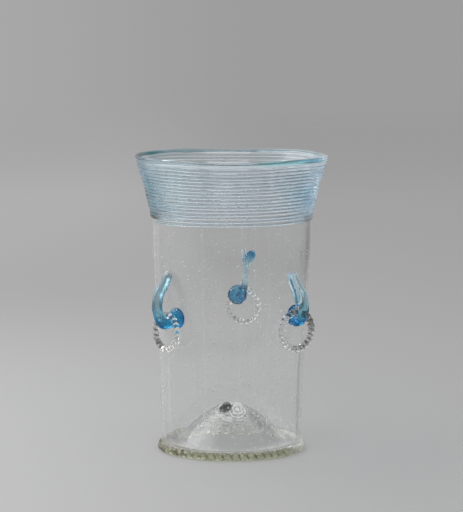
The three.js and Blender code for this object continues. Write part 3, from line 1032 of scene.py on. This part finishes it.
bm = bmesh.new()
turned(bm, outline, 40)
bmesh.ops.subdivide_edges(bm, edges=bm.edges, cuts=1, use_grid_fill=True)
for vert in bm.verts:
    radius = math.hypot(vert.co.x, vert.co.y)
    vert.co += wad_shift
    moved = math.hypot(vert.co.x, vert.co.y)
    vert.co.z -= kick_height(radius) - kick_height(moved)
    if vert.co.z < wad_edge - 0.3 * mm and radius < wad_radius - 0.4 * mm:
        vert.co += noise.noise_vector(vert.co * 420) * wad_roughness
pontil_wad = mesh_object("pontil_wad_glass", bm, wad_glass, smooth=False)
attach(pontil_wad, "beaker")
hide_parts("pontil_wad")

# The loops
# Each is one gather of blue glass: a pad pressed on the wall, and the trail drawn from it round
# the ring and nipped to the wall above. The thick foot of the trail is deep blue, its top pale.
seat_gap = 0.3

# Places are azimuths and heights. Sizes are half widths and thicknesses, in millimetres. An arm
# gives shares of the rise, places beside it and radii, each at its start and end, and its lead.
# Two entries per loop set the painted shade in its ring's grooves: the azimuth where it is deepest, and how
# strong it is.
loop_sizes = {
    "left": dict(
        pad=(-45, 75.2), hook=(-47.5, 72.5), top=(-51.2, 100), ring_reach=5.5, belly_lead=0.5,
        hook_radius=2.8, belly=(3.0, 2.4), end=(3.0, 1.9), pad_radius=5.7, pad_thickness=2.3,
        ring_diameter=22, rib_radius=1.8, ring_azimuth=-50, shade_at=190, tip=0.5, rib_shade=0.8, arms=(),
    ),
    "right": dict(
        pad=(53, 76.2), hook=(49.4, 73.8), top=(51.5, 99.4), ring_reach=4.2, belly_lead=-0.2,
        hook_radius=2.7, belly=(3.1, 2.2), end=(2.2, 1.4), pad_radius=5.6, pad_thickness=1.7,
        ring_diameter=23.8, rib_radius=1.95, ring_azimuth=37, shade_at=0, tip=0.85, rib_shade=1.3,
        arms=((1.0, 0.2, -4.4, -5.2, 2.0, 2.2, 1.2),),
    ),
    "back": dict(
        pad=(175.4, 77.8), hook=(171.4, 76), top=(168.5, 99.8), ring_reach=4.4, belly_lead=0.2,
        hook_radius=2.3, belly=(1.8, 1.2), end=(1.6, 1.0), pad_radius=5.6, pad_thickness=2.1,
        ring_diameter=21.8, rib_radius=1.75, ring_azimuth=168, shade_at=-50, tip=0.5, rib_shade=0.6,
        arms=((0.7, 1.21, 0.3, 2.2, 1.5, 1.2, 0.6), (0.7, 1.14, -0.4, -4.4, 1.7, 2.9, 0.6)),
    ),
}
rise_shares = [(0.2, 1), (0.45, 0.83), (0.61, 0.55), (0.78, 0.27), (1, 0)]
hook_angles = (-45, 0, 45, 90)
loop_voxel = 0.24 * mm
loop_sink = 0.3 * mm
bar_sides = 20
ridge_share = 0.12
ridge_count = 3
ridge_turn = 0.9


def hang_point(loop):
    """Where a loop's ring hangs: how far its glass lies from the trail, and its top's place."""
    turn_radius = loop["hook_radius"] + seat_gap + loop["rib_radius"]
    height = loop["hook"][1] + turn_radius
    return turn_radius, height, off_wall(loop["hook"][0], loop["ring_reach"] * mm, height * mm)


def rise_at(loop, share, aside, lead=0):
    """A point beside the rising part of a trail, from level with the ring to the nipped top."""
    turn_radius, height, _ = hang_point(loop)
    belly = loop["ring_reach"] + turn_radius + loop["belly_lead"]
    level = mixed(height, loop["top"][1], share)
    reach = belly * max(smooth_through(rise_shares, share), 0) + lead
    azimuth = mixed(loop["hook"][0], loop["top"][0], min(share, 1))
    azimuth += math.degrees(aside * mm / wall_radius(level * mm))
    return off_wall(azimuth, reach * mm, level * mm)


def smooth_line(places, steps):
    """Points on a smooth line through these places."""
    line = [2 * places[0] - places[1], *places, 2 * places[-1] - places[-2]]
    points = []
    for k in range(1, len(line) - 2):
        p0, p1, p2, p3 = line[k - 1 : k + 3]
        for step in range(steps):
            t = step / steps
            bend = (2 * p0 - 5 * p1 + 4 * p2 - p3) * t**2 + (3 * p1 - p0 - 3 * p2 + p3) * t**3
            points.append((2 * p1 + (p2 - p0) * t + bend) / 2)
    return [*points, places[-1]]


def drawn_bar(bm, points, sizes):
    """A ridged bar of oval section along these points, with half a width and thickness at each."""
    rings = []
    for k, spot in enumerate(points):
        along = (points[min(k + 1, len(points) - 1)] - points[max(k - 1, 0)]).normalized()
        out = Vector((spot.x, spot.y, 0)).normalized()
        across = out.cross(Vector((0, 0, 1)))
        across = (across - along * across.dot(along)).normalized()
        turn = Matrix((across, along.cross(across), along)).transposed().to_4x4()
        shape = Matrix.Diagonal((*sizes[k], 1, 1))
        made = bmesh.ops.create_circle(
            bm, cap_ends=k in (0, len(points) - 1), segments=bar_sides, radius=1,
            matrix=Matrix.Translation(spot) @ turn @ shape,
        )
        for n, corner in enumerate(made["verts"]):
            ridge = math.cos(ridge_count * 2 * math.pi * n / bar_sides + ridge_turn)
            corner.co = spot + (corner.co - spot) * (1 + ridge_share * ridge)
        corners = set(made["verts"])
        rings.append([e for e in {e for v in corners for e in v.link_edges} if set(e.verts) <= corners])
    for ring, following in zip(rings, rings[1:]):
        bmesh.ops.bridge_loops(bm, edges=ring + following)


def fused(name, parts, material):
    """Closed shapes melted into one skin, smoothed, and sunk a little into the wall."""
    rough = mesh_object(name, parts, material)
    melt = rough.modifiers.new("melt", "REMESH")
    melt.mode = "VOXEL"
    melt.voxel_size = loop_voxel
    soften = rough.modifiers.new("soften", "SMOOTH")
    soften.factor = 0.5
    soften.iterations = 4
    shown = bpy.context.evaluated_depsgraph_get()
    mesh = bpy.data.meshes.new_from_object(rough.evaluated_get(shown))
    bpy.data.objects.remove(rough)
    bm = bmesh.new()
    bm.from_mesh(mesh)
    sunk(bm, loop_sink)
    return mesh_object(name, bm, material)


loop_reach_radius = 41
loop_pale_from = (78, 97)
at_back = (0, 5)
at_left = (-15, -5)
fork_foot = (95, 101)
fork_right = (7, 9)
shade_line = (-34.4, 95.7)
shade_line_lean = 0.322
shade_line_side = (-25, -15)
shade_line_low = (82, 86)
thin_foot = (81, 86)
pad_shade_centre = (3.4, 0, 77.8)
pad_shade_from = (4.3, 5.2)
pad_shade_top = (80, 83)


def loop_paint(tree):
    """Deep blue where the glass is gathered, and paler where it is drawn thin, with painted shade on the left
    loop's stem and round the lower edge of the back pad.
    """
    here, x, y, z = spot_on(tree)
    back = y.above(*at_back)
    reach = (from_point(here) - loop_reach_radius) * 0.8 + (here.cloud(260) - 0.5) * 7
    share = (z + reach).above(*loop_pale_from)
    paint = share.ramp((0, (0.05, 0.43, 0.71)), (0.35, (0.50, 0.82, 0.92)), (1, (0.95, 0.96, 0.97)))
    grey_top = x.below(*at_left) * share.above(0.45, 1)
    paint = grey_top.blend(paint, (0.63, 0.67, 0.68))
    # Painted shade on the left loop's stem, right of a slanting line.
    inside = (x - shade_line[0] + (shade_line[1] - z) * shade_line_lean).above(-0.5, 0.5)
    inside = inside * x.below(*shade_line_side) * z.above(*shade_line_low)
    paint = inside.blend(paint, (0.37, 0.37, 0.37))
    paint = (back * z.above(*thin_foot) * 0.9).blend(paint, (0.88, 0.98, 1.0))
    # Painted shade round the lower edge of the back pad.
    rim = from_point(here, pad_shade_centre, (1, 0, 1)).above(*pad_shade_from)
    paint = (rim * back * z.below(*pad_shade_top)).blend(paint, (0.01, 0.10, 0.22))
    fork = back * z.above(*fork_foot) * x.above(*fork_right)
    return fork.blend(paint, (0.06, 0.32, 0.58))


left_tip_foot = (97.5, 99.5)
at_right = (15, 20)
right_tip_foot = (95, 99)
glint_line = (30.2, 95.4)
glint_lean = 0.46
glint_edge = (0.2, 0.6)
glint_low = (90.5, 91.5)
glint_high = (95, 96)
trail_foot = (82, 88)
trail_top = (93, 97)
fork_tip_foot = (98, 99)
fork_tip_left = (6, 7)


def loop_haze_and_glint(tree):
    """Milky at the three tips and along the back loop's thin trail, with a painted glint at the right."""
    _, x, y, z = spot_on(tree)
    back = y.above(*at_back)
    left_tip = x.below(*at_left) * z.above(*left_tip_foot)
    right_tip = x.above(*at_right) * z.above(*right_tip_foot)
    off = x - glint_line[0] - (glint_line[1] - z) * glint_lean
    glint = off.maths("ABSOLUTE").below(*glint_edge) * z.above(*glint_low) * z.below(*glint_high)
    trail = back * z.above(*trail_foot) * z.below(*trail_top)
    fork_tip = back * z.above(*fork_tip_foot) * x.below(*fork_tip_left)
    return left_tip * 0.3 + right_tip * 0.2 + glint * 0.7 + trail * 0.4 + fork_tip * 0.6


def loop_roughness(tree):
    """Duller on the left loop."""
    _, x, y, z = spot_on(tree)
    return x.below(*at_left) * 0.15 + 0.08


def loop_streaks(tree):
    """Fine lines along the drawn glass."""
    return place(tree).scaled((900, 900, 110)).cloud(1, 1)


loop_glass = glass(
    "loop_glass", (0.45, 0.7, 0.85), loop_paint, loop_roughness, bump=(loop_streaks, 0.12 * mm),
    depth=((0.0, 0.66, 0.86), 95), haze_and_sheen=loop_haze_and_glint,
)
for side, loop in loop_sizes.items():
    turn_radius, height, _ = hang_point(loop)
    pad_azimuth, pad_height = loop["pad"][0], loop["pad"][1] * mm
    places = [off_wall(pad_azimuth, -loop_sink, pad_height)]
    for degrees in hook_angles:
        angle = math.radians(degrees)
        azimuth = mixed(pad_azimuth, loop["hook"][0], 0.5 if degrees < 0 else 1)
        reach = loop["ring_reach"] + turn_radius * math.sin(angle)
        places.append(off_wall(azimuth, reach * mm, (height - turn_radius * math.cos(angle)) * mm))
    places += [rise_at(loop, share, 0) for share, _ in rise_shares]
    points = smooth_line(places, 10)
    sizes = []
    for k in range(len(points)):
        at = k / (len(points) - 1) * 9
        belly, top = eased(at, 4, 6), eased(at, 6, 9)
        taper = mixed(1, loop["tip"], max(at - 8.2, 0) ** 2 / 0.64) * mm
        full = [mixed(loop["hook_radius"], size, belly) for size in loop["belly"]]
        sizes.append([mixed(size, end, top) * taper for size, end in zip(full, loop["end"])])
    bm = bmesh.new()
    drawn_bar(bm, points, sizes)
    for start, end, aside, aside_end, radius, radius_end, lead in loop["arms"]:
        shares = spread(0, 1, 10)
        spots = [rise_at(loop, mixed(start, end, t), mixed(aside, aside_end, t), lead) for t in shares]
        rounding = [math.sqrt(1 - max(t - 0.7, 0) ** 2 / 0.095) for t in shares]
        drawn_bar(bm, spots, [[mixed(radius, radius_end, t) * mm * r] * 2 for t, r in zip(shares, rounding)])
    seat = off_wall(pad_azimuth, 0, pad_height)
    face = Matrix.Rotation(math.radians(pad_azimuth), 4, "Z") @ Matrix.Rotation(math.pi / 2, 4, "X")
    pad_size = (loop["pad_radius"] * mm, loop["pad_radius"] * mm, loop["pad_thickness"] * mm, 1)
    shape = Matrix.Translation(seat) @ face @ Matrix.Diagonal(pad_size)
    bmesh.ops.create_uvsphere(bm, u_segments=40, v_segments=20, radius=1, matrix=shape)
    piece = fused(f"{side}_loop_glass", bm, loop_glass)
    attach(piece, "beaker")
    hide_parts(f"{side}_loop")

bubble_count = 46
bubble_least = 0.15 * mm
bubble_most = 0.5 * mm
bubble_reach = (0.3 * mm, 0.9 * mm)
bm = bmesh.new()
for loop in loop_sizes.values():
    for _ in range(bubble_count):
        turn, out = draw.uniform(0, 2 * math.pi), loop["pad_radius"] * 0.85 * draw.random() ** 0.5
        azimuth = loop["pad"][0] + math.degrees(out * math.cos(turn) / 42)
        size = mixed(bubble_least, bubble_most, draw.random() ** 2)
        height = (loop["pad"][1] + out * math.sin(turn)) * mm
        blown(bm, off_wall(azimuth, draw.uniform(*bubble_reach), height), (size, size, size))
bubbles = mesh_object("loop_seeds", bm, seed_glass)
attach(bubbles, "beaker")

# The rings
# Loose rings of colourless glass: a short trail bent round through the loop and pinched into
# ribs while it was soft.
rib_pitch = 2.9 * mm
rib_pinch = 0.38
ring_roughness = 0.22 * mm


def ring_paint(tree):
    """Darker in the grooves between the ribs, where the glass bends the light away."""
    groove = Wire(tree).node("Attribute", output="Fac", attribute_name="groove")
    return groove.above(0.2, 0.85).blend((0.92, 0.92, 0.91), (0.14, 0.135, 0.12))


ring_glass = glass("ring_glass", (0.92, 0.92, 0.92), ring_paint, 0.05)
for side, loop in loop_sizes.items():
    _, _, hang = hang_point(loop)
    rib_radius = loop["rib_radius"] * mm
    ring_radius = loop["ring_diameter"] / 2 * mm - rib_radius
    ribs = round(2 * math.pi * ring_radius / rib_pitch)
    bm = bmesh.new()
    turned(bm, arc(ring_radius, 0, rib_radius, 0, 360, 20), ribs * 12)
    groove = bm.verts.layers.float.new("groove")
    for vert in bm.verts:
        angle = math.atan2(vert.co.y, vert.co.x)
        middle = Vector((math.cos(angle), math.sin(angle), 0)) * ring_radius
        uneven = 1.1 * noise.noise(middle * 120) + 180 * vert.co.z
        rib = abs(math.sin(ribs / 2 * angle + uneven))
        # Painted shade: the grooves are darker towards one side of each ring.
        dark = 0.6 + 0.6 * math.cos(angle - math.radians(loop["shade_at"]))
        patchy = held(0.9 + 0.7 * noise.noise(middle * 150))
        vert[groove] = (0.2 + (1 - rib) * patchy) * loop["rib_shade"] * dark
        vert.co = middle + (vert.co - middle) * (1 - rib_pinch * (1 - rib) ** 1.3)
        vert.co += noise.noise_vector(vert.co * 420) * ring_roughness
    turn = Matrix.Rotation(math.radians(loop["ring_azimuth"]), 4, "Z")
    stand = Matrix.Rotation(math.pi / 2, 4, "X")
    drop = Matrix.Translation(hang - Vector((0, 0, ring_radius)))
    bmesh.ops.transform(bm, matrix=drop @ (turn @ stand), verts=bm.verts)
    piece = mesh_object(f"{side}_ring_glass", bm, ring_glass)
    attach(piece, f"{side}_ring_body")
    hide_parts(f"{side}_ring")
